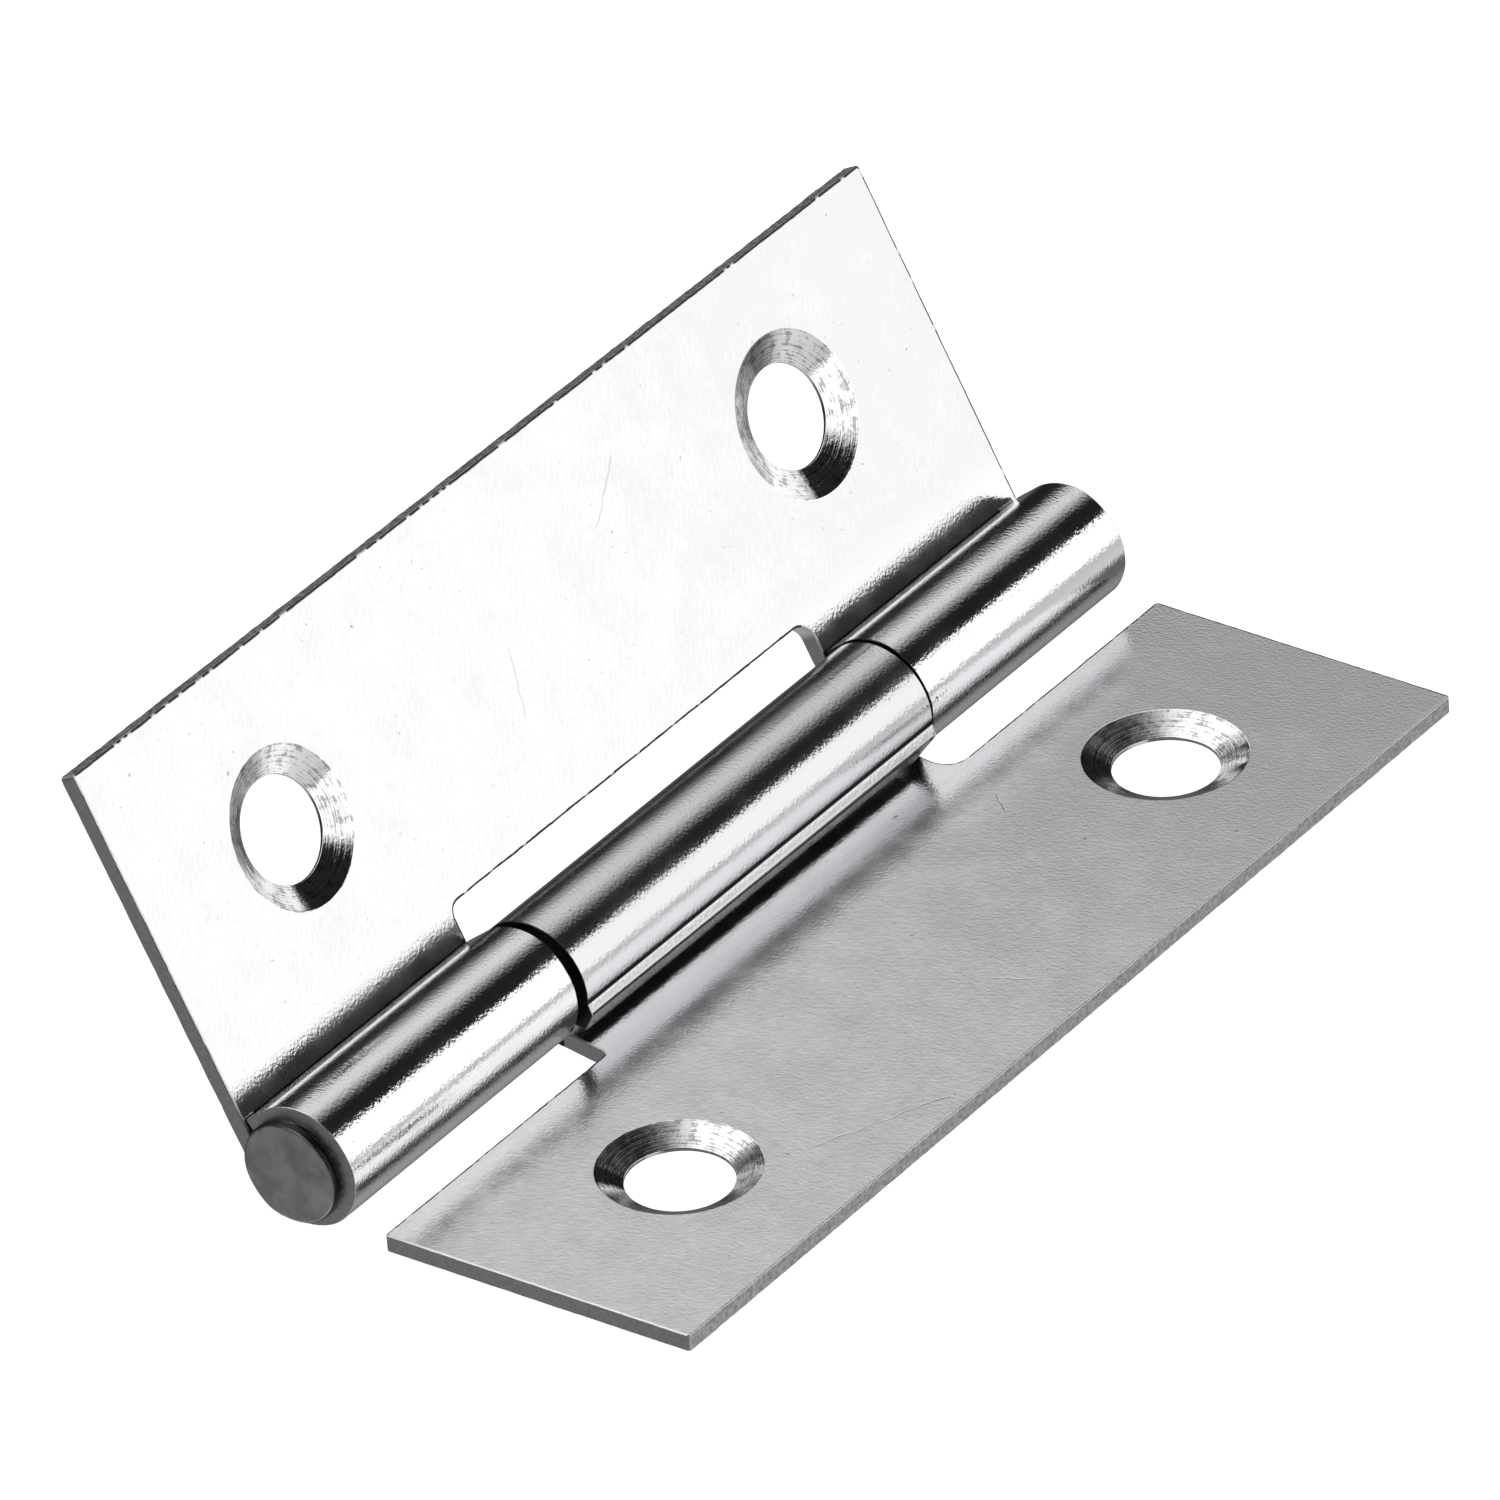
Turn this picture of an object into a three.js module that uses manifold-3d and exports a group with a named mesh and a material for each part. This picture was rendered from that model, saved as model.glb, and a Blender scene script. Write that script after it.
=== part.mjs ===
// Pressed-steel butt hinge: two leaves rolled from sheet around one peened pin.
// Millimetres, +Z up. The hinge axis runs along Y.
// The fixed leaf lies flat with its mounting face on z = 0. The origin is on that face,
// midway between the leaf's two screw holes. The swinging leaf stands open at OPEN_ANGLE.

import * as THREE from "three";
import { mergeVertices } from "three/addons/utils/BufferGeometryUtils.js";
import Module from "manifold-3d";

const wasm = await Module();
wasm.setup();

// Driving dimensions -------------------------------------------------------------------

const LEAF_LENGTH = 60.0;
const LEAF_REACH = 20.1; // hinge axis to the free edge of a leaf
const SHEET = 0.85;
const ROLL_RADIUS = 3.0; // outside of a rolled knuckle
const OPEN_ANGLE = 116.7; // degrees between the two inner faces at rest
const LEAF_CORNER = 0.3; // side of the square whose corner takes each sharp point off

const PIN_RADIUS = 2.08;
const PIN_HEAD_RADIUS = 2.56;
const PIN_HEAD_RISE = 0.42; // flat rim of the peened head above the knuckle's end
const PIN_DOME = 0.1;
const PIN_HEAD_GAP = 0.04;

const AXIAL_SHIFT = 0.85; // how far the fixed leaf has slid towards the far knuckle
const AXIS_TO_HOLES = 11.8; // hinge axis to the fixed leaf's row of holes
const THROUGH_RADIUS = 2.5;
const SINK_DEPTH = 0.7; // the cone stops short of the back face and leaves a lip

// The roll ends in a short straight stretch, because the sheet's last edge can't be curled.
const TIP_ANGLE = 78; // degrees round the roll, from its underside, where that stretch starts
const ROLL_STEP = 7.5; // degrees per facet

// A leaf's own frame: x outwards from the hinge axis, y along it from the near end,
// z positive on the inner face, the face that carries the countersinks.
const FIXED_LEAF = {
  name: "fixed_leaf",
  colour: 0xa9abae,
  innerFace: 2.55, // hinge axis to the plane of the inner face
  tipLength: 1.1,
  slotEdge: 3.88, // hinge axis to the bottom of the slots
  slots: [
    { from: -5, to: 16.5, nearCorner: 0, farCorner: 0.9 },
    { from: 43.5, to: 65, nearCorner: 1.0, farCorner: 0 },
  ],
  holes: [
    { x: 12.0, y: 10.63, sinkRadius: 3.77 },
    { x: 11.6, y: 49.37, sinkRadius: 3.85 },
  ],
};

const SWINGING_LEAF = {
  name: "swinging_leaf",
  colour: 0xdcdddf,
  innerFace: ROLL_RADIUS - SHEET,
  tipLength: 1.4,
  slotEdge: 4.44,
  slots: [{ from: 16.7, to: 44.45, nearCorner: 0.6, farCorner: 1.8 }],
  holes: [
    { x: 11.95, y: 10.32, sinkRadius: 3.78 },
    { x: 12.45, y: 49.56, sinkRadius: 3.98 },
  ],
};

// Worked out from the dimensions above ---------------------------------------------------

const AXIS_X = -AXIS_TO_HOLES;
const AXIS_Z = FIXED_LEAF.innerFace + SHEET;
const FIXED_NEAR_Y = -LEAF_LENGTH / 2;
const SWINGING_NEAR_Y = FIXED_NEAR_Y - AXIAL_SHIFT;
const CUTTER_HEIGHT = 20;
const OVERCUT = 1; // how far a cutter starts outside the sheet

// Solids ---------------------------------------------------------------------------------

function toManifold(geometry) {
  const bare = geometry.clone();
  bare.deleteAttribute("normal");
  bare.deleteAttribute("uv");
  const merged = mergeVertices(bare, 1e-4);
  return new wasm.Manifold(
    new wasm.Mesh({
      numProp: 3,
      vertProperties: new Float32Array(merged.attributes.position.array),
      triVerts: new Uint32Array(merged.index.array),
    }),
  );
}

function toGeometry(manifold) {
  const mesh = manifold.getMesh();
  const geometry = new THREE.BufferGeometry();
  const positions = new Float32Array(mesh.vertProperties);
  geometry.setAttribute("position", new THREE.BufferAttribute(positions, 3));
  geometry.setIndex(new THREE.BufferAttribute(new Uint32Array(mesh.triVerts), 1));
  geometry.computeVertexNormals();
  return geometry;
}

function metal(colour, roughness) {
  return new THREE.MeshStandardMaterial({ color: colour, roughness, metalness: 1 });
}

// A point on an ellipse round the axis; the angle starts at the underside and turns
// through the leaf's side, over the top, and back down the closed side.
function rollPoint(degrees, halfWidth, halfHeight) {
  const angle = THREE.MathUtils.degToRad(degrees);
  return new THREE.Vector2(halfWidth * Math.sin(angle), -halfHeight * Math.cos(angle));
}

// The roll's outer or inner line, from its tip round to the underside. The closed side's
// lower quarter reaches down to the leaf's own plane.
function rollLine(radius, planeDistance, tipLength) {
  const tip = rollPoint(TIP_ANGLE, radius, radius);
  const along = rollPoint(TIP_ANGLE - 90, tipLength, tipLength);
  const points = [tip.clone().add(along)];
  const steps = Math.round((360 - TIP_ANGLE) / ROLL_STEP);
  for (let i = 0; i <= steps; i += 1) {
    const angle = TIP_ANGLE + ((360 - TIP_ANGLE) * i) / steps;
    const height = angle < 270 ? radius : planeDistance;
    points.push(rollPoint(angle, radius, height));
  }
  return points;
}

// The section of a whole leaf, sheet and roll, in x and z.
function leafSection(leaf) {
  const outer = rollLine(ROLL_RADIUS, leaf.innerFace + SHEET, leaf.tipLength);
  const inner = rollLine(ROLL_RADIUS - SHEET, leaf.innerFace, leaf.tipLength);
  const freeEdge = [
    new THREE.Vector2(LEAF_REACH, -leaf.innerFace - SHEET),
    new THREE.Vector2(LEAF_REACH, -leaf.innerFace),
  ];
  return new THREE.Shape([...outer, ...freeEdge, ...inner.reverse()]);
}

// A section drawn in x and z, extruded along +y. Extruding goes along +z, so it is tipped
// over, and z is turned back the right way up beforehand.
function extrudeAlongY(shape, length) {
  const turned = shape.getPoints().map((point) => new THREE.Vector2(point.x, -point.y));
  const geometry = new THREE.ExtrudeGeometry(new THREE.Shape(turned), {
    depth: length,
    bevelEnabled: false,
  });
  geometry.rotateX(-Math.PI / 2);
  return geometry;
}

// The window for the other leaf's knuckle, with its corners rounded at the slot's bottom.
function slotCutter(slot, slotEdge) {
  const left = -ROLL_RADIUS - OVERCUT;
  const outline = new THREE.Shape();
  outline.moveTo(left, slot.from);
  outline.lineTo(slotEdge - slot.nearCorner, slot.from);
  if (slot.nearCorner > 0) {
    const centreY = slot.from + slot.nearCorner;
    outline.absarc(slotEdge - slot.nearCorner, centreY, slot.nearCorner, -Math.PI / 2, 0);
  }
  outline.lineTo(slotEdge, slot.to - slot.farCorner);
  if (slot.farCorner > 0) {
    const centreY = slot.to - slot.farCorner;
    outline.absarc(slotEdge - slot.farCorner, centreY, slot.farCorner, 0, Math.PI / 2);
  }
  outline.lineTo(left, slot.to);
  outline.closePath();
  const geometry = new THREE.ExtrudeGeometry(outline, {
    depth: CUTTER_HEIGHT,
    bevelEnabled: false,
    curveSegments: 8,
  });
  geometry.translate(0, 0, -CUTTER_HEIGHT / 2);
  return geometry;
}

// A countersunk screw hole: a wide cone from the inner face, then a short straight lip.
function holeCutter(hole, innerFace) {
  const slope = (hole.sinkRadius - THROUGH_RADIUS) / SINK_DEPTH;
  const profile = [
    new THREE.Vector2(0, -SHEET - OVERCUT),
    new THREE.Vector2(THROUGH_RADIUS, -SHEET - OVERCUT),
    new THREE.Vector2(THROUGH_RADIUS, -SINK_DEPTH),
    new THREE.Vector2(hole.sinkRadius + slope * OVERCUT, OVERCUT),
    new THREE.Vector2(0, OVERCUT),
  ];
  const geometry = new THREE.LatheGeometry(profile, 48);
  geometry.rotateX(Math.PI / 2);
  geometry.translate(hole.x, hole.y, -innerFace);
  return geometry;
}

// Takes the sharp point off a free corner, as one small chamfer.
function cornerCutter(y) {
  const geometry = new THREE.BoxGeometry(LEAF_CORNER, LEAF_CORNER, CUTTER_HEIGHT);
  geometry.rotateZ(Math.PI / 4);
  geometry.translate(LEAF_REACH, y, 0);
  return geometry;
}

function leafGeometry(leaf) {
  let solid = toManifold(extrudeAlongY(leafSection(leaf), LEAF_LENGTH));
  for (const slot of leaf.slots) {
    solid = solid.subtract(toManifold(slotCutter(slot, leaf.slotEdge)));
  }
  for (const hole of leaf.holes) {
    solid = solid.subtract(toManifold(holeCutter(hole, leaf.innerFace)));
  }
  for (const y of [0, LEAF_LENGTH]) {
    solid = solid.subtract(toManifold(cornerCutter(y)));
  }
  return toGeometry(solid);
}

// The pin: a plain shank the length of the barrel, spread into a low head at each end.
function pinGeometry() {
  const headEnd = PIN_HEAD_GAP + PIN_HEAD_RISE;
  const end = [
    new THREE.Vector2(0, headEnd + PIN_DOME),
    new THREE.Vector2(PIN_HEAD_RADIUS * 0.55, headEnd + PIN_DOME * 0.7),
    new THREE.Vector2(PIN_HEAD_RADIUS * 0.88, headEnd),
    new THREE.Vector2(PIN_HEAD_RADIUS, headEnd * 0.6),
    new THREE.Vector2(PIN_HEAD_RADIUS, PIN_HEAD_GAP),
    new THREE.Vector2(PIN_RADIUS, PIN_HEAD_GAP),
  ];
  const near = end.map((point) => new THREE.Vector2(point.x, -point.y));
  const far = end.map((point) => new THREE.Vector2(point.x, LEAF_LENGTH + point.y));
  return new THREE.LatheGeometry([...near, ...far.reverse()], 48);
}

// Assembly -------------------------------------------------------------------------------

function namedMesh(name, geometry, material) {
  const mesh = new THREE.Mesh(geometry, material);
  mesh.name = name;
  return mesh;
}

const hinge = new THREE.Group();

const fixedSide = new THREE.Group();
fixedSide.position.set(AXIS_X, FIXED_NEAR_Y, AXIS_Z);
fixedSide.add(namedMesh(FIXED_LEAF.name, leafGeometry(FIXED_LEAF), metal(FIXED_LEAF.colour, 0.3)));
hinge.add(fixedSide);

// The swinging leaf faces the fixed one, so it is the same kind of section seen in a mirror.
const swingingSide = new THREE.Group();
swingingSide.position.set(AXIS_X, SWINGING_NEAR_Y, AXIS_Z);
swingingSide.rotation.y = -THREE.MathUtils.degToRad(OPEN_ANGLE);
const mirrored = leafGeometry(SWINGING_LEAF);
mirrored.scale(1, 1, -1);
mirrored.setIndex([...mirrored.index.array].reverse());
swingingSide.add(namedMesh(SWINGING_LEAF.name, mirrored, metal(SWINGING_LEAF.colour, 0.25)));
swingingSide.add(namedMesh("hinge_pin", pinGeometry(), metal(0x6a6b6d, 0.4)));
hinge.add(swingingSide);

export default hinge;
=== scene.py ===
"""A zinc-plated pressed-steel butt hinge: two rolled leaves round one peened pin.

Each leaf starts as a flat blank, drawn in u (across the sheet) and y (along the hinge axis).
The blank has rounded cut edges and countersunk holes, and is then rolled round the axis.
All dimensions are millimetres until the mesh is made, and metres in the scene.
"""

import math

import bpy
from mathutils import Matrix, Vector, noise
from mathutils.geometry import delaunay_2d_cdt


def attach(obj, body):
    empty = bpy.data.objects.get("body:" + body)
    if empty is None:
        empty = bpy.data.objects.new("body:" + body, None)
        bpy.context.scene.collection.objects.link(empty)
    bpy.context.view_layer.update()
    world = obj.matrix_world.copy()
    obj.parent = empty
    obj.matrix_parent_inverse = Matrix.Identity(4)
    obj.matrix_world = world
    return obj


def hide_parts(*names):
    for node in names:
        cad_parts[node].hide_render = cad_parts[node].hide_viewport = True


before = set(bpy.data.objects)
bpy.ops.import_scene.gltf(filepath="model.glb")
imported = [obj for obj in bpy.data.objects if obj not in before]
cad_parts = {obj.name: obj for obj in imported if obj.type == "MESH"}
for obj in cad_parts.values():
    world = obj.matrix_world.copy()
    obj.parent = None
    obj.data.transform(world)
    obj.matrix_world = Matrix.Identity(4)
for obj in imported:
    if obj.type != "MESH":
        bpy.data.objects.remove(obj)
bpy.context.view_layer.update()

MM = 0.001

# The hinge, in millimetres and degrees ------------------------------------------------------

LEAF_LENGTH = 60.0
LEAF_REACH = 20.1  # hinge axis to the free edge of a leaf
SHEET = 0.85
ROLL_RADIUS = 3.0
MIDDLE_RADIUS = ROLL_RADIUS - SHEET / 2  # of the sheet's middle, which keeps its length
OPEN_ANGLE = 116.7
AXIS_X = -11.8
AXIS_Z = 3.4
FIXED_NEAR_Y = -30.0
SWINGING_NEAR_Y = -30.85
TIP_ANGLE = 78.0  # degrees round the roll, from its underside, where the straight tip starts
ROLL_LENGTH = math.radians(360 - TIP_ANGLE) * MIDDLE_RADIUS  # of the curled part of the sheet
ROLL_STEP = 3.0
THROUGH_RADIUS = 2.5
SINK_DEPTH = 0.68

FACE_ROLLOVER = (0.12, 0.06)  # width and depth of the rounded side of a sheared edge
BACK_ROLLOVER = (0.05, 0.05)
RIM = 0.03  # width of the flat strip that keeps a rounded edge's shading off the face
CORNER_RADIUS = 0.19  # has to stay larger than FACE_ROLLOVER's width and RIM together
EDGE_STEP = 0.25  # between points along a sheared edge
EDGE_WAVER = 0.02
FLAT_FROM = 5.0  # the sheet has no bend lines from here to the free edge
ARC_STEPS = 6
CIRCLE_STEPS = 128
BACK_SHIFT = 100.0  # moves the back's markings, so that they aren't the face's seen through

ROLL_OPENS = (175.0, 120.0)  # degrees round the roll between which its radius grows
RISE_SPAN = (0.6, 4.2)  # where the fixed leaf's sheet climbs from its plane to the roll
RISE_STEP = 0.3

# Where the fixed leaf's raised lip starts, and where it stands highest, across the blank.
LIP_FOOT = -ROLL_LENGTH + math.radians(5.5) * MIDDLE_RADIUS
LIP_CREST = -ROLL_LENGTH - 0.16
LIP_CREASE = 0.02

PIN_RADIUS = 2.0
PIN_SHANK_DEPTH = 0.1  # how far inside the knuckle's end the shank reaches its full radius
PIN_HEAD_RADIUS = 2.5
PIN_HEAD_OFFSET = -0.45  # the head was peened off centre, towards the roll's closed side
PIN_HEAD_RISE = 0.46  # rim of the peened head above the knuckle's end
PIN_HEAD_ROUNDING = 0.16
PIN_HEAD_GAP = 0.06  # the head's underside above the knuckle's end
PIN_DOME = 0.06
PIN_DOME_STEPS = 8
HAMMER_SPREAD = 0.012  # share of the pin's radius
HAMMER_HEIGHT = 0.025

FIXED_LEAF = {
    "name": "fixed_leaf",
    "inner_face": 2.55,
    "closed_radius": 3.0,
    "open_radius": 3.0,
    "tip_length": 1.3,
    "tip_corner": 0.3,
    "tip_trim": (0.9, 1.4),  # what is cut off the tip's far corner, across and along
    "lip": 0.3,
    "slot_edge": 3.88,
    "near_lean": 0.3,
    "rise": 0.4,
    "slots": [(-5.0, 16.5, 0.0, 0.35), (43.42, 65.0, 1.3, 0.0)],
    "holes": [(12.0, 10.63, 3.77), (11.6, 49.37, 3.85)],
}
SWINGING_LEAF = {
    "name": "swinging_leaf",
    "inner_face": 2.15,
    "closed_radius": 2.9,
    "open_radius": 3.05,
    "tip_length": 1.4,
    "tip_corner": CORNER_RADIUS,
    "tip_trim": (0.0, 0.0),
    "lip": 0.0,
    "slot_edge": 4.44,
    "near_lean": 0.0,
    "rise": 0.0,
    "slots": [(16.8, 44.45, 0.6, 1.0)],
    "holes": [(11.95, 10.32, 3.78), (12.45, 49.56, 3.98)],
}

# Each leaf's zinc. Colours run from light to dark on the flat, with a third on the roll.
# Roughness is a range. Relief is in millimetres, with the share of it left on the flat.
# Specks have a scale, the two noise levels between which they appear, and a colour. Each
# hairline scratch has its two ends (u, y) on the inner face.
FIXED_ZINC = {
    "light": (0.99, 0.985, 1.0),
    "dark": (0.76, 0.755, 0.78),
    "rolled": (0.76, 0.757, 0.772),
    "roughness": (0.14, 0.2),
    "relief": 0.018,
    "flat_share": 0.35,
    "speck_scale": 2.2,
    "speck_levels": (0.7, 0.76),
    "speck_colour": (0.35, 0.35, 0.36),
    "scratches": [
        ((6.7, 43.0), (8.0, 41.7)),
        ((16.0, 14.5), (19.2, 21.5)),
        ((15.2, 30.0), (17.4, 31.2)),
    ],
    "painted_crease_reflection": True,
}
SWINGING_ZINC = {
    "light": (0.9, 0.9, 0.91),
    "dark": (0.78, 0.78, 0.79),
    "rolled": (0.86, 0.86, 0.87),
    "roughness": (0.08, 0.14),
    "relief": 0.018,
    "flat_share": 0.4,
    "speck_scale": 3.2,
    "speck_levels": (0.69, 0.75),
    "speck_colour": (0.35, 0.35, 0.36),
    "scratches": [((9.0, 26.0), (12.5, 27.0)), ((14.0, 35.0), (16.5, 38.0))],
    "painted_crease_reflection": False,
}
SCRATCH_WIDTH = 0.05
BRUSHING_TURN = -0.52  # radians between the sheet's grain and the free edge

# The camera ---------------------------------------------------------------------------------

VIEW_AZIMUTH = 37.49
VIEW_ELEVATION = 32.29
VIEW_ROLL = -4.12
VIEW_DISTANCE = 858.3
VIEW_TARGET = (-9.06, 0.0, 9.0)
LENS = 459.8
BACKDROP = 1.4  # brightness of the plain white background

# A leaf's material slots.
FACE, EDGE, SPLIT, SINK_NEAR, SINK_FAR = range(5)


# The flat blank -----------------------------------------------------------------------------


def bend_stations(leaf):
    """The places across the blank where it bends, from the rise to the tip."""
    steps = round((360 - TIP_ANGLE) / ROLL_STEP)
    lines = [-ROLL_LENGTH * i / steps for i in range(steps + 1)]
    rise_lines = [RISE_STEP * i for i in range(1, round(RISE_SPAN[1] / RISE_STEP) + 1)]
    # A line too close to the bottom of a slot would meet its rounded edge.
    lines += [u for u in rise_lines if not -0.05 < u - leaf["slot_edge"] < 0.3]
    for crease in (LIP_FOOT, LIP_CREST):
        lines += [crease - LIP_CREASE, crease, crease + LIP_CREASE]
    lines += [-ROLL_LENGTH - leaf["tip_length"] * part for part in (0.4, 0.7)]
    return sorted(lines, reverse=True)


def knuckle_tip(leaf, low, high):
    """The corners of one knuckle's tip, from its near end to its far end."""
    tip = -ROLL_LENGTH - leaf["tip_length"]
    radius = leaf["tip_corner"]
    across, along = leaf["tip_trim"]
    if along == 0:
        return [(tip, low, radius), (tip, high, radius)]
    return [(tip, low, radius), (tip, high - along, radius), (tip + across, high, radius)]


def leaf_corners(leaf):
    """The corners of the blank as (u, y, radius), anticlockwise from the near free corner."""
    edge = leaf["slot_edge"]
    free_side = [(LEAF_REACH, 0, CORNER_RADIUS), (LEAF_REACH, LEAF_LENGTH, CORNER_RADIUS)]
    hinge_side = []  # from near to far, turned round at the end
    knuckle_start = 0
    for low, high, near_corner, far_corner in leaf["slots"]:
        if low <= 0:
            hinge_side.append((edge, -leaf["near_lean"], CORNER_RADIUS))
        else:
            hinge_side += knuckle_tip(leaf, knuckle_start, low)
            hinge_side.append((edge, low, near_corner))
        if high >= LEAF_LENGTH:
            hinge_side.append((edge, LEAF_LENGTH, CORNER_RADIUS))
        else:
            hinge_side.append((edge, high, far_corner))
        knuckle_start = high
    if knuckle_start < LEAF_LENGTH:
        hinge_side += knuckle_tip(leaf, knuckle_start, LEAF_LENGTH)
    return free_side + hinge_side[::-1]


def corner_arc(corner, before, after, lines):
    """The points of one rounded corner, each with its outward direction.

    A slot's corner also gets a point wherever a bend line reaches it.
    """
    point = Vector(corner[:2])
    radius = corner[2]
    inward = (point - Vector(before[:2])).normalized()
    onward = (Vector(after[:2]) - point).normalized()
    first = Vector((inward.y, -inward.x))
    last = Vector((onward.y, -onward.x))
    convex = inward.cross(onward) > 0
    side = -1 if convex else 1
    centre = point - inward * radius + first * radius * side
    parts = [i / ARC_STEPS for i in range(ARC_STEPS + 1)]
    if not convex:
        way = first + last
        for line in lines:
            lean = (centre.x - line) / (radius * side)
            if abs(lean) < 0.999 and lean * way.x > 0:
                normal = Vector((lean, math.copysign(math.sqrt(1 - lean * lean), way.y)))
                parts.append(first.angle(normal) / (math.pi / 2))
    made = []
    for part in sorted(parts):
        normal = first.slerp(last, part).normalized()
        made.append((centre - normal * radius * side, normal))
    return made


def straight_run(start, end, lines):
    """Points between two corners, closely set so that the edge can waver and bend."""
    if abs(start.x - end.x) > 0.2:
        low, high = sorted((start.x, end.x))
        first = round(FLAT_FROM / EDGE_STEP)
        flat = [EDGE_STEP * i for i in range(first, int(LEAF_REACH / EDGE_STEP))]
        inside = [u for u in lines + flat if low + 0.02 < u < high - 0.02]
        inside.sort(reverse=start.x > end.x)
        slope = (end.y - start.y) / (end.x - start.x)
        return [Vector((u, start.y + (u - start.x) * slope)) for u in inside]
    count = max(1, round(abs(end.y - start.y) / EDGE_STEP))
    return [start.lerp(end, i / count) for i in range(1, count)]


def outline(leaf):
    """The blank's outline, anticlockwise, as points with their outward directions."""
    corners = leaf_corners(leaf)
    lines = bend_stations(leaf)
    count = len(corners)
    arcs = []
    for i, corner in enumerate(corners):
        arcs.append(corner_arc(corner, corners[i - 1], corners[(i + 1) % count], lines))
    points = []
    for i, arc in enumerate(arcs):
        points += arc
        start, normal = arc[-1]
        end = arcs[(i + 1) % count][0][0]
        points += [(point, normal) for point in straight_run(start, end, lines)]
    return points


def edge_profile():
    """A cut edge from the inner face to the back, as (inset, depth, outward, facing)."""
    width, depth = FACE_ROLLOVER
    profile = [(width + RIM, 0.0, 0.0, -1.0)]
    for degrees in (0, 22.5, 45, 67.5, 90):
        a = math.radians(degrees)
        normal = Vector((math.sin(a) * depth, -math.cos(a) * width)).normalized()
        profile.append((width * (1 - math.sin(a)), depth * (1 - math.cos(a)), *normal))
    width, depth = BACK_ROLLOVER
    for degrees in (90, 45, 0):
        a = math.radians(degrees)
        normal = Vector((math.sin(a) * depth, math.cos(a) * width)).normalized()
        inset = width * (1 - math.sin(a))
        profile.append((inset, SHEET - depth * (1 - math.cos(a)), *normal))
    profile.append((width + RIM, SHEET, 0.0, 1.0))
    return profile


def sink_profile(radius):
    """A countersunk hole from the inner face to the back, as (radius, depth, inward, facing)."""
    slope = Vector((SINK_DEPTH, -(radius - THROUGH_RADIUS))).normalized()
    blend = 0.04  # width of the small rounding at each end of the hole
    steps = 6
    profile = [(radius + blend + RIM, 0.0, 0.0, -1.0), (radius + RIM, 0.0, 0.0, -1.0)]
    for i in range(steps + 1):
        part = 0.02 + 0.96 * i / steps
        across = radius + (THROUGH_RADIUS - radius) * part
        profile.append((across, SINK_DEPTH * part, slope.x, slope.y))
    profile.append((THROUGH_RADIUS, SINK_DEPTH + blend / 2, 1.0, 0.0))
    profile.append((THROUGH_RADIUS, SHEET - blend, 1.0, 0.0))
    profile.append((THROUGH_RADIUS + blend, SHEET, 0.0, 1.0))
    profile.append((THROUGH_RADIUS + blend + RIM, SHEET, 0.0, 1.0))
    return profile


class Blank:
    """A flat sheet: vertices (u, y, depth) with normals, and faces with a material number."""

    def __init__(self):
        self.points = []
        self.normals = []
        self.faces = []
        self.materials = []

    def ring(self, points, normals):
        """Adds vertices and gives back their numbers."""
        start = len(self.points)
        self.points += points
        self.normals += normals
        return list(range(start, len(self.points)))

    def face(self, indices, material):
        self.faces.append(tuple(indices))
        self.materials.append(material)

    def strip(self, upper, lower, kinds):
        """Quads from the upper ring down to the lower one, with a material for each."""
        for i, kind in enumerate(kinds):
            j = (i + 1) % len(upper)
            self.face((upper[i], lower[i], lower[j], upper[j]), kind)

    def middle_of(self, ring):
        total = Vector((0.0, 0.0))
        for i in ring:
            total += Vector(self.points[i][:2])
        return total / len(ring)

    def fill(self, rings, creases, upward):
        """Triangles between an outer ring and its holes, split along the bend lines."""
        indices = [i for ring in rings for i in ring]
        where = {index: k for k, index in enumerate(indices)}
        spots = [Vector(self.points[i][:2]) for i in indices]
        edges = []
        for ring in rings:
            count = len(ring)
            edges += [(where[ring[i]], where[ring[(i + 1) % count]]) for i in range(count)]
        edges += [(where[a], where[b]) for a, b in creases]
        places, _, triangles, sources, _, _ = delaunay_2d_cdt(spots, edges, [], 1, 1e-6)
        origin = [ids[0] if ids else None for ids in sources]
        holes = []
        for ring in rings[1:]:
            centre = self.middle_of(ring)
            holes.append((centre, (Vector(self.points[ring[0]][:2]) - centre).length))
        for triangle in triangles:
            middle = sum((places[i] for i in triangle), Vector((0.0, 0.0))) / len(triangle)
            if any((middle - centre).length < reach * 0.999 for centre, reach in holes):
                continue
            corners = [indices[origin[i]] for i in triangle]
            self.face(corners if upward else corners[::-1], FACE)


def bend_lines(blank, ring, points, lines):
    """Pairs of ring vertices that share a bend line and lie on the same knuckle."""
    pairs = []
    for line in lines:
        hits = [i for i, (point, _) in zip(ring, points) if abs(point.x - line) < 1e-4]
        hits.sort(key=lambda i: blank.points[i][1])
        pairs += [(hits[k], hits[k + 1]) for k in range(0, len(hits) - 1, 2)]
    return pairs


def waver(point, seed):
    """How far a sheared edge strays from its line."""
    coarse = noise.noise(Vector((point.x * 0.9, point.y * 0.9, seed)))
    fine = noise.noise(Vector((point.x * 4.0, point.y * 4.0, seed + 9.0)))
    return EDGE_WAVER * (coarse + fine)


def in_split(point):
    """Whether a point of the outline is on the end of a knuckle that meets another knuckle."""
    return point.x < 1.5 and 1 < point.y < LEAF_LENGTH - 1


def dark_rim(leaf, point, normal, seed):
    """Whether the rounded side of a sheared edge is given near-black steel here instead of zinc, in
    broken dashes.
    """
    near_edge = normal.y < -0.5
    free_edge_of_fixed = leaf["rise"] > 0 and normal.x > 0.5
    if near_edge or free_edge_of_fixed:
        return False
    return noise.noise(Vector((point.x * 2.5, point.y * 2.5, seed))) > -0.3


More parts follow.
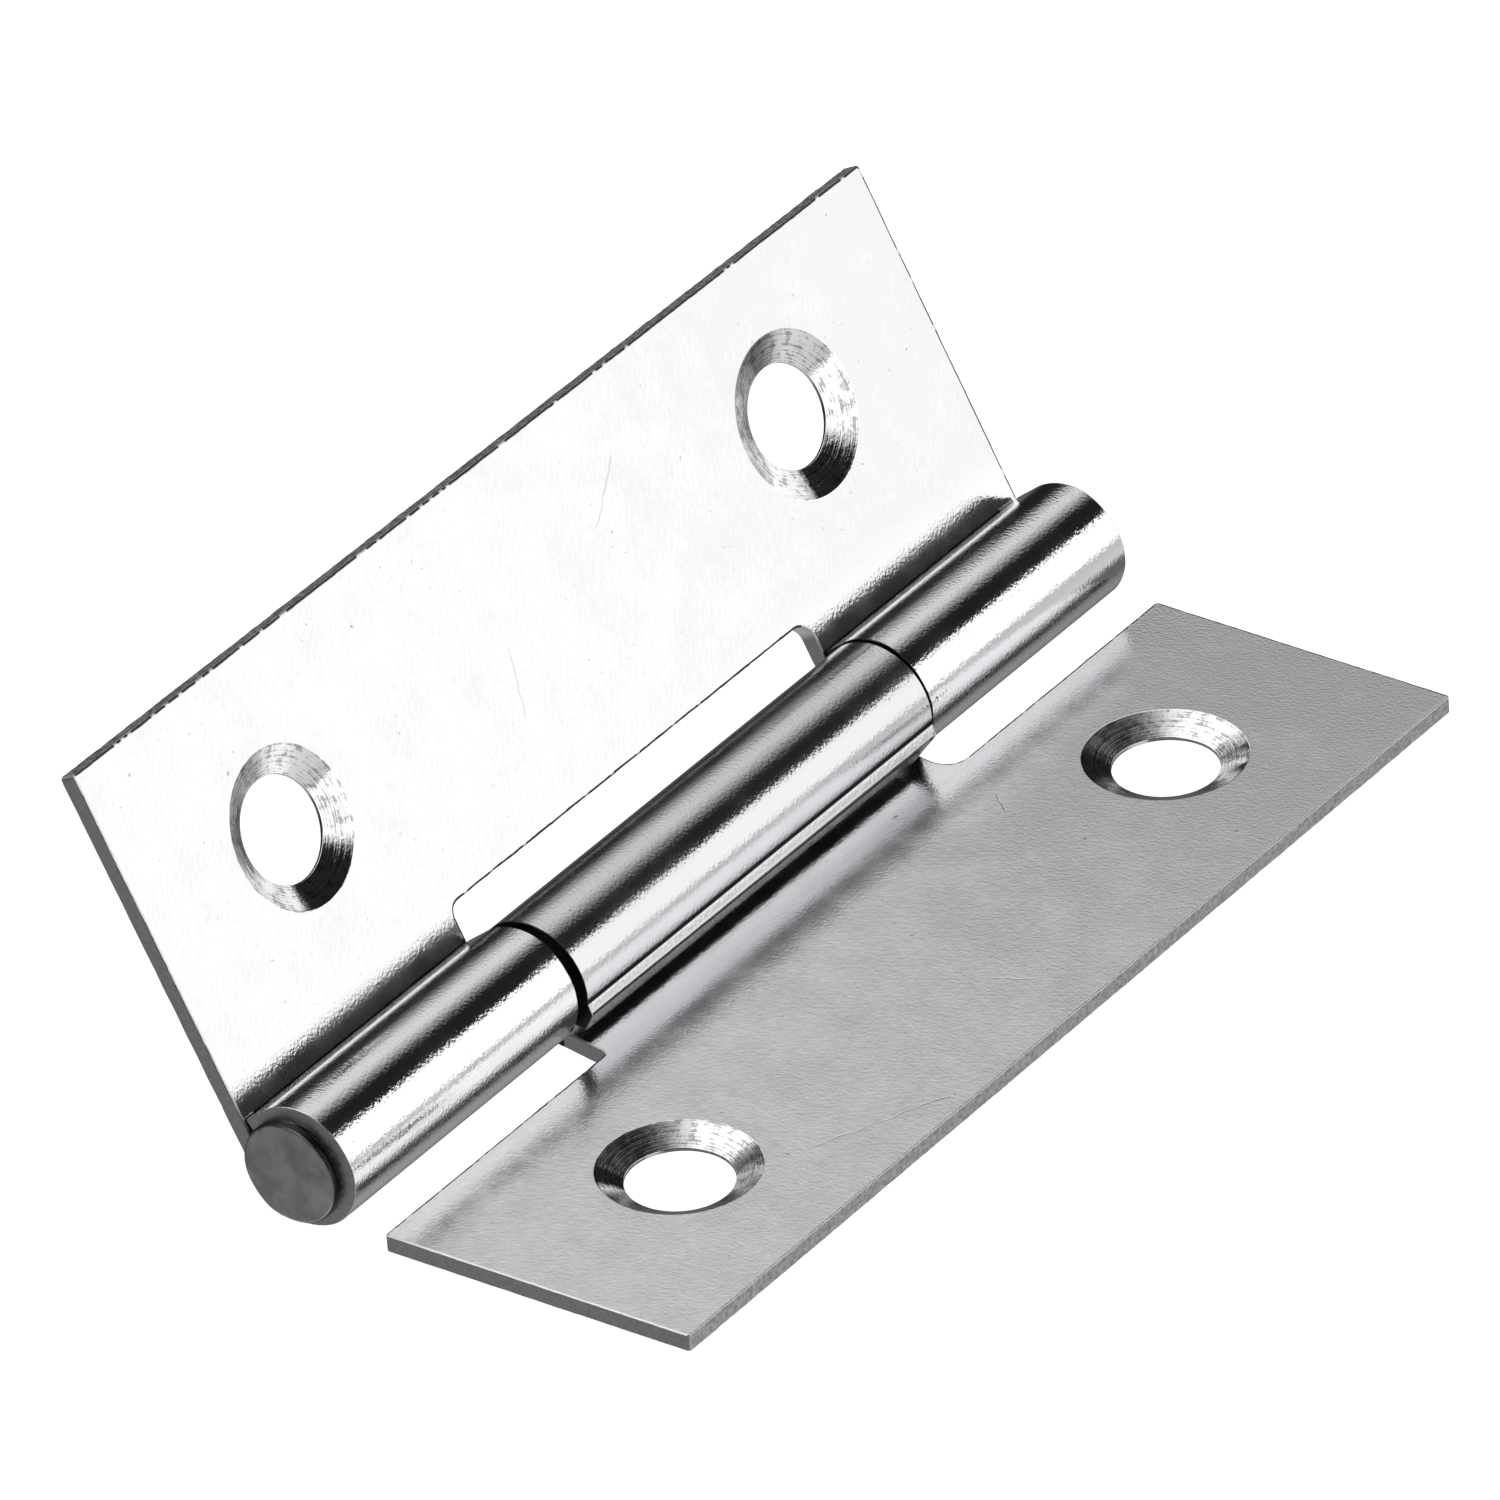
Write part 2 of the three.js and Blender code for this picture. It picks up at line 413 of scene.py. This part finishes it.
def edge_ring(blank, points, level, step, seed):
    """One ring of the sheared edge; along the roll it keeps to the bend lines."""
    inset, depth, outward, facing = step
    spots = []
    normals = []
    for point, normal in points:
        stray = waver(point, seed + level * 0.15)
        spot = point - normal * (inset - stray)
        if point.x < 0.05 and abs(normal.x) < 0.5:
            spot.x = point.x
        spots.append((spot.x, spot.y, depth))
        normals.append((normal.x * outward, normal.y * outward, facing))
    return blank.ring(spots, normals)


def add_edge(blank, leaf, points, seed):
    """The sheared edge all round the blank. Gives back its rings, from the inner face."""
    rings = []
    for level, step in enumerate(edge_profile()):
        rings.append(edge_ring(blank, points, level, step, seed))
    for level in range(len(rings) - 1):
        flat = level == 0 or level == len(rings) - 2
        rounded = level < 4
        kinds = []
        for point, normal in points:
            # Knuckle ends in the splits get near-black steel as painted shade for the gaps between
            # knuckles; the dark dashes on other rounded edges get the same.
            dark = in_split(point) or (rounded and dark_rim(leaf, point, normal, seed))
            kinds.append(FACE if flat else (SPLIT if dark else EDGE))
        blank.strip(rings[level], rings[level + 1], kinds)
    return rings


def add_sink(blank, hole, slot):
    """One countersunk hole. Gives back its rings, from the inner face."""
    u, y, radius = hole
    rings = []
    for reach, depth, inward, facing in sink_profile(radius):
        spots = []
        normals = []
        for i in range(CIRCLE_STEPS):
            a = 2 * math.pi * i / CIRCLE_STEPS
            spots.append((u + reach * math.cos(a), y + reach * math.sin(a), depth))
            normals.append((-math.cos(a) * inward, -math.sin(a) * inward, facing))
        rings.append(blank.ring(spots, normals))
    for level in range(len(rings) - 1):
        flat = level == 0 or level == len(rings) - 2
        kinds = [FACE if flat else slot] * CIRCLE_STEPS
        blank.strip(rings[level][::-1], rings[level + 1][::-1], kinds)
    return rings


def make_blank(leaf, seed):
    """The leaf as a flat sheet, before it is rolled."""
    blank = Blank()
    points = outline(leaf)
    lines = bend_stations(leaf)
    edge = add_edge(blank, leaf, points, seed)
    sinks = [add_sink(blank, hole, slot) for hole, slot in zip(leaf["holes"], (SINK_NEAR, SINK_FAR))]
    for end, upward in ((0, True), (-1, False)):
        rings = [edge[end]] + [sink[end] for sink in sinks]
        blank.fill(rings, bend_lines(blank, edge[end], points, lines), upward)
    return blank


# Rolling the blank --------------------------------------------------------------------------


def roll_point(degrees, half_width, half_height):
    """A point on an ellipse round the axis; the angle starts at the underside."""
    a = math.radians(degrees)
    return Vector((half_width * math.sin(a), -half_height * math.cos(a)))


def smooth_step(value, start, end):
    """A smooth rise from 0 to 1 as the value goes from start to end."""
    part = min(max((value - start) / (end - start), 0.0), 1.0)
    return part * part * (3 - 2 * part)


def outer_radius(leaf, angle):
    """The roll opens slightly between its closed side and its tip."""
    opened = smooth_step(angle, *ROLL_OPENS)
    return leaf["closed_radius"] + (leaf["open_radius"] - leaf["closed_radius"]) * opened


def lip_height(leaf, u):
    """How far the outside of the tip stands proud where the sheet was pinched."""
    if u > LIP_FOOT:
        return 0.0
    if u > LIP_CREST:
        return leaf["lip"] * (LIP_FOOT - u) / (LIP_FOOT - LIP_CREST)
    end = -ROLL_LENGTH - leaf["tip_length"]
    return leaf["lip"] * (u - end) / (LIP_CREST - end)


def section_point(leaf, u, depth):
    """Where a point of the blank lies in the rolled leaf's section, as x and z."""
    if u >= 0:
        lifted = leaf["rise"] * (1 - smooth_step(u, *RISE_SPAN))
        return Vector((u, lifted - leaf["inner_face"] - depth))
    plane = leaf["inner_face"] - leaf["rise"]
    turned = min(-u, ROLL_LENGTH) / ROLL_LENGTH * (360 - TIP_ANGLE)
    angle = 360 - turned
    part = depth / SHEET
    radius = outer_radius(leaf, angle)
    inner_height = plane if angle > 270 else radius - SHEET
    outer_height = plane + SHEET if angle > 270 else radius
    inner = roll_point(angle, radius - SHEET, inner_height)
    outer = roll_point(angle, radius, outer_height)
    point = inner.lerp(outer, part)
    beyond = -u - ROLL_LENGTH
    if beyond > 0:
        point += roll_point(TIP_ANGLE - 90, beyond, beyond)
    lip = lip_height(leaf, u) * part
    return point + roll_point(min(angle, 90), lip, lip)


def bend(leaf, point, normal):
    """A blank's vertex and its normal in the rolled leaf's own frame."""
    u, y, depth = point
    place = section_point(leaf, u, depth)
    reach = 0.004  # to each side, where the section's direction is measured
    ahead = section_point(leaf, u + reach, depth)
    behind = section_point(leaf, u - reach, depth)
    along = (ahead - behind).normalized()
    outwards = Vector((along.y, -along.x))
    turned = along * normal[0] + outwards * normal[2]
    return Vector((place.x, y, place.y)), Vector((turned.x, normal[1], turned.y)).normalized()


def make_mesh(name, points, normals, faces, materials, sheet_map):
    """A smooth mesh with its own normals and the flat sheet's coordinates as a UV map."""
    mesh = bpy.data.meshes.new(name)
    mesh.from_pydata(points, [], faces)
    mesh.update()
    for polygon, material in zip(mesh.polygons, materials):
        polygon.material_index = material
        polygon.use_smooth = True
    layer = mesh.uv_layers.new(name="sheet")
    for loop in mesh.loops:
        layer.data[loop.index].uv = sheet_map[loop.vertex_index]
    mesh.normals_split_custom_set_from_vertices(normals)
    piece = bpy.data.objects.new(name, mesh)
    bpy.context.scene.collection.objects.link(piece)
    return piece


def make_leaf(leaf, name, to_world, mirrored, seed):
    """Rolls a blank, stands it in place, and makes its mesh."""
    blank = make_blank(leaf, seed)
    turn = to_world.to_3x3()
    points = []
    normals = []
    for point, normal in zip(blank.points, blank.normals):
        place, facing = bend(leaf, point, normal)
        points.append((to_world @ place) * MM)
        normals.append((turn @ facing).normalized())
    faces = [face[::-1] for face in blank.faces] if mirrored else blank.faces
    sheet_map = [
        (u, y + (BACK_SHIFT if depth == SHEET else 0.0)) for u, y, depth in blank.points
    ]
    return make_mesh(name, points, normals, faces, blank.materials, sheet_map)


# The pin ------------------------------------------------------------------------------------


def pin_end_profile():
    """One peened head from its middle to the shank, as (radius, rise, outward, endward)."""
    reach = PIN_HEAD_RADIUS
    rise = PIN_HEAD_RISE
    rounding = PIN_HEAD_ROUNDING
    gap = PIN_HEAD_GAP
    profile = []
    for i in range(PIN_DOME_STEPS + 1):
        part = i / PIN_DOME_STEPS
        across = (reach - rounding) * part
        slope = 2 * PIN_DOME * part / reach
        profile.append((across, rise + PIN_DOME * (1 - part * part), slope, 1.0))
    for degrees in (30, 60, 90):
        a = math.radians(degrees)
        across = reach - rounding + rounding * math.sin(a)
        up = rise - rounding + rounding * math.cos(a)
        profile.append((across, up, math.sin(a), math.cos(a)))
    profile.append((reach, gap + 0.03, 1.0, 0.0))
    profile.append((reach - 0.03, gap, 0.6, -0.8))
    profile.append((PIN_RADIUS - 0.55, gap, 0.0, -1.0))
    profile.append((PIN_RADIUS, -PIN_SHANK_DEPTH, 1.0, 0.0))
    return profile


def hammered(a, across, seed):
    """The uneven outline and face that peening leaves, from about -1 to 1."""
    place = Vector((across * math.cos(a), across * math.sin(a), seed))
    return noise.noise(place * 0.8) + 0.4 * noise.noise(place * 2.3)


def pin_ring(step, end_y, sign, seed):
    """One ring of the pin's surface, as points and normals in the swinging leaf's frame."""
    across, rise, outward, endward = step
    off = PIN_HEAD_OFFSET if rise > 0 else 0
    points = []
    normals = []
    for i in range(CIRCLE_STEPS):
        a = 2 * math.pi * i / CIRCLE_STEPS
        uneven = hammered(a, across, seed)
        reach = across * (1 + HAMMER_SPREAD * uneven)
        height = rise + (HAMMER_HEIGHT * uneven if rise > 0.1 else 0)
        along = end_y + sign * height
        points.append(Vector((reach * math.cos(a), along, off + reach * math.sin(a))))
        facing = (math.cos(a) * outward, sign * endward, math.sin(a) * outward)
        normals.append(Vector(facing))
    return points, normals


def pin_faces(ring_count):
    """Quads between neighbouring rings, from the near head to the far one."""
    faces = []
    for level in range(ring_count - 1):
        upper = level * CIRCLE_STEPS
        lower = upper + CIRCLE_STEPS
        for i in range(CIRCLE_STEPS):
            j = (i + 1) % CIRCLE_STEPS
            faces.append((upper + i, upper + j, lower + j, lower + i))
    return faces


def make_pin(name, to_world):
    """The pin: a shank through the barrel with a low hammered head on each end."""
    points = []
    normals = []
    profile = pin_end_profile()
    for seed, end_y, sign, steps in (
        (3.0, 0.0, -1.0, profile),
        (11.0, LEAF_LENGTH, 1.0, profile[::-1]),
    ):
        for step in steps:
            ring_points, ring_normals = pin_ring(step, end_y, sign, seed)
            points += ring_points
            normals += ring_normals
    faces = pin_faces(2 * len(profile))
    for start, near in ((0, True), (len(points) - CIRCLE_STEPS, False)):
        ring = points[start : start + CIRCLE_STEPS]
        centre = len(points)
        points.append(sum(ring, Vector()) / CIRCLE_STEPS)
        normals.append(Vector((0, -1 if near else 1, 0)))
        for i in range(CIRCLE_STEPS):
            first = start + i
            second = start + (i + 1) % CIRCLE_STEPS
            faces.append((centre, second, first) if near else (centre, first, second))
    turn = to_world.to_3x3()
    sheet_map = [(point.x, point.z) for point in points]
    places = [(to_world @ point) * MM for point in points]
    facings = [(turn @ normal).normalized() for normal in normals]
    return make_mesh(name, places, facings, faces, [0] * len(faces), sheet_map)


# Node helpers -------------------------------------------------------------------------------


class Graph:
    """Short ways to add shader nodes. Values may be numbers or other nodes' sockets."""

    def __init__(self, tree):
        self.tree = tree
        tree.nodes.clear()

    def node(self, kind, **inputs):
        """A node with some of its inputs filled in by name."""
        made = self.tree.nodes.new(kind)
        for key, value in inputs.items():
            self.plug(made.inputs[key], value)
        return made

    def plug(self, socket, value):
        if isinstance(value, bpy.types.NodeSocket):
            self.tree.links.new(value, socket)
        else:
            socket.default_value = value

    def math(self, operation, *values):
        made = self.tree.nodes.new("ShaderNodeMath")
        made.operation = operation
        for socket, value in zip(made.inputs, values):
            self.plug(socket, value)
        return made.outputs[0]

    def scaled(self, value, factor):
        return self.math("MULTIPLY", value, factor)

    def total(self, *values):
        result = values[0]
        for value in values[1:]:
            result = self.math("ADD", result, value)
        return result

    def ramp(self, value, low, high, bottom=0.0, top=1.0):
        """A smooth step from bottom to top as the value goes from low to high."""
        made = self.tree.nodes.new("ShaderNodeMapRange")
        made.interpolation_type = "SMOOTHSTEP"
        made.inputs["From Min"].default_value = low
        made.inputs["From Max"].default_value = high
        made.inputs["To Min"].default_value = bottom
        made.inputs["To Max"].default_value = top
        self.plug(made.inputs["Value"], value)
        return made.outputs["Result"]

    def mix(self, factor, first, second):
        """The first colour where the factor is 0, and the second where it is 1."""
        made = self.tree.nodes.new("ShaderNodeMix")
        made.data_type = "RGBA"
        self.plug(made.inputs["Factor"], factor)
        for number, colour in ((6, first), (7, second)):  # the node's two colour inputs
            self.plug(made.inputs[number], (*colour, 1.0) if isinstance(colour, tuple) else colour)
        return made.outputs[2]

    def distance(self, vector, centre):
        made = self.tree.nodes.new("ShaderNodeVectorMath")
        made.operation = "DISTANCE"
        self.plug(made.inputs[0], vector)
        made.inputs[1].default_value = centre
        return made.outputs["Value"]

    def noise(self, vector, scale, detail=2.0, roughness=0.5):
        made = self.tree.nodes.new("ShaderNodeTexNoise")
        self.plug(made.inputs["Vector"], vector)
        made.inputs["Scale"].default_value = scale
        made.inputs["Detail"].default_value = detail
        made.inputs["Roughness"].default_value = roughness
        return made.outputs["Fac"]

    def stretch(self, vector, scale, turn=0.0):
        """The vector scaled, then turned in its plane."""
        made = self.tree.nodes.new("ShaderNodeMapping")
        self.plug(made.inputs["Vector"], vector)
        made.inputs["Rotation"].default_value = (0.0, 0.0, turn)
        made.inputs["Scale"].default_value = scale
        return made.outputs["Vector"]


# Materials ----------------------------------------------------------------------------------


def grey(level, blue=0.0):
    """A neutral colour, with a little more blue where that is asked for."""
    return (level, level, level + blue)


def new_material(name):
    material = bpy.data.materials.new(name)
    material.use_nodes = True
    return material, Graph(material.node_tree)


def sheet_coordinates(graph):
    """The place on the flat sheet, in millimetres."""
    made = graph.node("ShaderNodeUVMap")
    made.uv_map = "sheet"
    return made.outputs["UV"]


def metal(graph, colour, roughness, height, relief, strength=1.0):
    """A metal shader with a bump of the given relief in millimetres, as the graph's output."""
    bump = graph.node("ShaderNodeBump", Strength=strength, Distance=relief * MM, Height=height)
    shader = graph.node("ShaderNodeBsdfPrincipled", Metallic=1.0, Normal=bump.outputs[0])
    graph.plug(shader.inputs["Base Color"], colour)
    graph.plug(shader.inputs["Roughness"], roughness)
    graph.node("ShaderNodeOutputMaterial", Surface=shader.outputs[0])


def speckled(graph, sheet, colour, zinc):
    """Small dark marks, scattered and here and there gathered, where a noise is highest."""
    gathered = graph.ramp(graph.noise(sheet, 0.3, 2.0), 0.35, 0.65, -0.06, 0.03)
    level = graph.total(graph.noise(sheet, zinc["speck_scale"], 3.0, 0.6), gathered)
    return graph.mix(graph.ramp(level, *zinc["speck_levels"]), colour, zinc["speck_colour"])


def painted_crease_reflection(graph, across, colour):
    """A painted dark reflection in the crease just above the lip of a pinched tip."""
    above = graph.ramp(across, LIP_FOOT + 0.16, LIP_FOOT + 0.32, 1.0, 0.0)
    below = graph.ramp(across, LIP_FOOT - 0.03, LIP_FOOT + 0.03)
    return graph.mix(graph.math("MULTIPLY", above, below), colour, grey(0.05))


def scratch(graph, sheet, start, end):
    """A mask that is 1 on a thin wavering line between two places on the sheet."""
    wander = 0.5  # reach of the line's wavering
    fade = 0.3  # length over which each end fades
    run = Vector(end) - Vector(start)
    length = run.length
    way = run / length
    place = graph.node("ShaderNodeSeparateXYZ", Vector=sheet).outputs
    x = graph.math("SUBTRACT", place[0], start[0])
    y = graph.math("SUBTRACT", place[1], start[1])
    along = graph.total(graph.scaled(x, way.x), graph.scaled(y, way.y))
    wobble = graph.scaled(graph.noise(sheet, 0.9, 2.0), wander)
    across = graph.total(graph.scaled(y, way.x), graph.scaled(x, -way.y), wobble)
    off_line = graph.math("ABSOLUTE", graph.math("SUBTRACT", across, wander / 2))
    thin = graph.ramp(off_line, 0.0, SCRATCH_WIDTH, 1.0, 0.0)
    from_start = graph.ramp(along, 0.0, fade)
    to_end = graph.ramp(along, length - fade, length, 1.0, 0.0)
    return graph.math("MULTIPLY", thin, graph.math("MULTIPLY", from_start, to_end))


def zinc_face(name, zinc):
    """Bright zinc over rolled sheet: fine grain, short streaks, specks and a few scratches.

    Rolling has roughened the knuckles and the sheet next to them, and tinted them.
    """
    material, graph = new_material(name)
    sheet = sheet_coordinates(graph)
    across, along, _ = graph.node("ShaderNodeSeparateXYZ", Vector=sheet).outputs
    turned = graph.stretch(sheet, (1.0, 1.0, 1.0), BRUSHING_TURN)
    dashes = graph.noise(graph.stretch(turned, (1.8, 5.5, 1.0)), 1.0, 3.0, 0.6)
    grain = graph.noise(sheet, 6.5, 1.0, 0.5)
    clouds = graph.noise(sheet, 0.35, 3.0, 0.55)

    # The flat grows darker towards the far end of the leaf.
    far_darkening = graph.ramp(along, 25.0, LEAF_LENGTH, 0.0, -0.17)
    shade = graph.total(graph.scaled(clouds, 0.5), graph.scaled(dashes, 0.5), far_darkening)
    flat = graph.mix(graph.ramp(shade, 0.3, 0.7), zinc["dark"], zinc["light"])
    colour = graph.mix(graph.ramp(across, 3.5, 6.0), zinc["rolled"], flat)
    colour = speckled(graph, sheet, colour, zinc)
    # A painted dark reflection along the crease above the pinched lip.
    if zinc["painted_crease_reflection"]:
        colour = painted_crease_reflection(graph, across, colour)

    height = graph.total(graph.scaled(dashes, 0.35), graph.scaled(grain, 0.65))
    for start, end in zinc["scratches"]:
        height = graph.math("SUBTRACT", height, scratch(graph, sheet, start, end))

    beside_roll = graph.ramp(across, 2.0, 3.5)
    matt = graph.math("MULTIPLY", beside_roll, graph.ramp(across, 4.5, 8.0, 0.05, 0.0))
    roughness = graph.total(graph.ramp(clouds, 0.3, 0.7, *zinc["roughness"]), matt)
    strength = graph.ramp(across, 1.5, 8.0, 1.0, zinc["flat_share"])
    metal(graph, colour, roughness, height, zinc["relief"], strength)
    return material


def cut_edge(name, dark, light):
    """Sheared steel: grey and rough."""
    material, graph = new_material(name)
    place = graph.node("ShaderNodeTexCoord").outputs["Object"]
    grain = graph.noise(place, 4000.0, 3.0, 0.6)
    roughness = graph.ramp(grain, 0.3, 0.7, 0.32, 0.48)
    metal(graph, graph.mix(grain, dark, light), roughness, grain, 0.02)
    return material


def machined_sink(name, hole):
    """A countersunk wall: turned rings round its hole's centre, torn here and there."""
    material, graph = new_material(name)
    sheet = sheet_coordinates(graph)
    distance = graph.distance(sheet, (hole[0], hole[1], 0.0))
    around = graph.noise(sheet, 0.8, 2.0)
    rings = graph.node("ShaderNodeCombineXYZ", X=distance, Y=graph.scaled(around, 0.3))
    grooves = graph.noise(graph.stretch(rings.outputs[0], (9.0, 1.0, 1.0)), 1.0, 4.0, 0.7)
    torn = graph.noise(sheet, 2.0, 3.0, 0.6)
    roughness = graph.ramp(grooves, 0.3, 0.7, 0.05, 0.1)
    bright = graph.ramp(graph.total(grooves, torn), 0.85, 1.0)
    colour = graph.mix(bright, grey(0.42), grey(0.93, 0.01))
    height = graph.total(graph.scaled(grooves, 0.6), torn)
    metal(graph, colour, roughness, height, 0.012)
    return material


def pin_metal(name):
    """The peened end: dull, smudged and faintly scuffed, with painted shade on its rim."""
    material, graph = new_material(name)
    sheet = sheet_coordinates(graph)
    scuffs = graph.noise(graph.stretch(sheet, (1.0, 3.0, 1.0)), 1.2, 4.0, 0.6)
    smudges = graph.ramp(graph.noise(sheet, 0.7, 3.0), 0.35, 0.65)
    clean = graph.mix(smudges, grey(0.66, 0.01), grey(0.95, 0.01))
    distance = graph.distance(sheet, (0.0, PIN_HEAD_OFFSET, 0.0))
    # Painted shade: the head's edge turns near-black, for the shadow round its rim.
    rim_shade = graph.ramp(distance, PIN_HEAD_RADIUS - 0.12, PIN_HEAD_RADIUS - 0.03)
    roughness = graph.ramp(scuffs, 0.3, 0.7, 0.28, 0.45)
    metal(graph, graph.mix(rim_shade, clean, grey(0.04)), roughness, scuffs, 0.01)
    return material


# The studio ---------------------------------------------------------------------------------


def soft_box(graph, facing, across, upward, span, rise, softness, brightness):
    """Light from a rectangle on one wall: span and rise are tangents seen from the hinge."""
    safe = graph.math("MAXIMUM", facing, 0.02)
    side = graph.math("DIVIDE", across, safe)
    height = graph.math("DIVIDE", upward, safe)
    masks = [
        graph.ramp(facing, 0.02, 0.08),
        graph.ramp(side, span[0] - softness, span[0] + softness),
        graph.ramp(side, span[1] - softness, span[1] + softness, 1.0, 0.0),
        graph.ramp(height, rise[0] - softness, rise[0] + softness),
        graph.ramp(height, rise[1] - softness, rise[1] + softness, 1.0, 0.0),
    ]
    light = brightness
    for mask in masks:
        light = graph.math("MULTIPLY", mask, light)
    return light


def studio_world():
    """A dark room with soft boxes to the right, behind and overhead, seen in the metal only.

    The picture's own background is plain white.
    """
    world = bpy.data.worlds.new("studio")
    world.use_nodes = True
    bpy.context.scene.world = world
    graph = Graph(world.node_tree)
    direction = graph.node("ShaderNodeTexCoord").outputs["Generated"]
    x, y, z = graph.node("ShaderNodeSeparateXYZ", Vector=direction).outputs
    left = graph.scaled(x, -1.0)
    floor_glow = graph.ramp(z, -0.45, -0.05, 0.17, 0.018)
    deep_glow = graph.ramp(z, -0.85, -0.62, 0.35, 0.0)
    right_box = soft_box(graph, x, y, z, (-0.35, 60.0), (0.0, 0.98), 0.06, 1.47)
    right_low = soft_box(graph, x, y, z, (-0.35, 60.0), (-0.68, 0.0), 0.12, 0.72)
    back_box = soft_box(graph, y, x, z, (0.05, 3.0), (-0.05, 0.5), 0.08, 1.2)
    overhead = soft_box(graph, z, left, y, (0.05, 1.7), (-2.0, 0.6), 0.25, 0.6)
    overhead_back = soft_box(graph, z, left, y, (0.05, 1.7), (-2.0, 1.33), 0.33, 0.93)
    light = graph.total(floor_glow, deep_glow, right_box, right_low, overhead, overhead_back)
    light = graph.math("MAXIMUM", light, back_box)
    seen = graph.node("ShaderNodeLightPath").outputs["Is Camera Ray"]
    reflected = graph.math("MULTIPLY", light, graph.math("SUBTRACT", 1.0, seen))
    strength = graph.total(reflected, graph.scaled(seen, BACKDROP))
    background = graph.node("ShaderNodeBackground", Strength=strength)
    graph.node("ShaderNodeOutputWorld", Surface=background.outputs[0])


def make_camera():
    """The camera, placed by its direction, roll and distance from the middle of the hinge."""
    camera = bpy.data.cameras.new("camera")
    camera.lens = LENS
    camera.sensor_width = 36.0
    camera.clip_end = 50.0
    holder = bpy.data.objects.new("camera", camera)
    bpy.context.scene.collection.objects.link(holder)
    turn = (
        Matrix.Rotation(math.radians(VIEW_AZIMUTH), 4, "Z")
        @ Matrix.Rotation(math.radians(90 - VIEW_ELEVATION), 4, "X")
        @ Matrix.Rotation(math.radians(VIEW_ROLL), 4, "Z")
    )
    back = turn @ Vector((0, 0, 1))
    place = Vector(VIEW_TARGET) + back * VIEW_DISTANCE
    holder.matrix_world = Matrix.Translation(place * MM) @ turn
    bpy.context.scene.camera = holder


# Assembly -----------------------------------------------------------------------------------


def fixed_frame():
    """The fixed leaf: x along the leaf, z out of its inner face."""
    return Matrix.Translation((AXIS_X, FIXED_NEAR_Y, AXIS_Z))


def swinging_frame():
    """The mirrored leaf: x along the leaf, z out of its inner face."""
    a = math.radians(OPEN_ANGLE)
    turn = Matrix(
        (
            (math.cos(a), 0, math.sin(a), 0),
            (0, 1, 0, 0),
            (math.sin(a), 0, -math.cos(a), 0),
            (0, 0, 0, 1),
        )
    )
    return Matrix.Translation((AXIS_X, SWINGING_NEAR_Y, AXIS_Z)) @ turn


def dress(piece, *materials):
    """Gives a piece its material slots, in the order of its faces' material numbers."""
    for material in materials:
        piece.data.materials.append(material)


make_camera()
studio_world()

fixed = make_leaf(FIXED_LEAF, "fixed_leaf_sheet", fixed_frame(), False, 1.0)
swinging = make_leaf(SWINGING_LEAF, "swinging_leaf_sheet", swinging_frame(), True, 5.0)
pin = make_pin("peened_pin", swinging_frame())

edge = cut_edge("cut_steel", grey(0.72, 0.01), grey(0.95, 0.01))
# Near-black steel for the knuckle ends in the splits: painted shade for the gaps between the
# knuckles. The same material gives the near-black dashes on the rounded side of edges.
split_shade = cut_edge("split_shade_steel", grey(0.05), grey(0.12))
for piece, leaf, zinc, side in (
    (fixed, FIXED_LEAF, FIXED_ZINC, "fixed"),
    (swinging, SWINGING_LEAF, SWINGING_ZINC, "swinging"),
):
    face = zinc_face(side + "_leaf_zinc", zinc)
    near_sink = machined_sink(side + "_near_sink", leaf["holes"][0])
    far_sink = machined_sink(side + "_far_sink", leaf["holes"][1])
    dress(piece, face, edge, split_shade, near_sink, far_sink)
dress(pin, pin_metal("pin_steel"))

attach(fixed, "fixed_side")
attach(swinging, "swinging_side")
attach(pin, "swinging_side")
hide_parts("fixed_leaf")
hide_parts("swinging_leaf")
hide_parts("hinge_pin")

bpy.context.scene.view_settings.view_transform = "Standard"
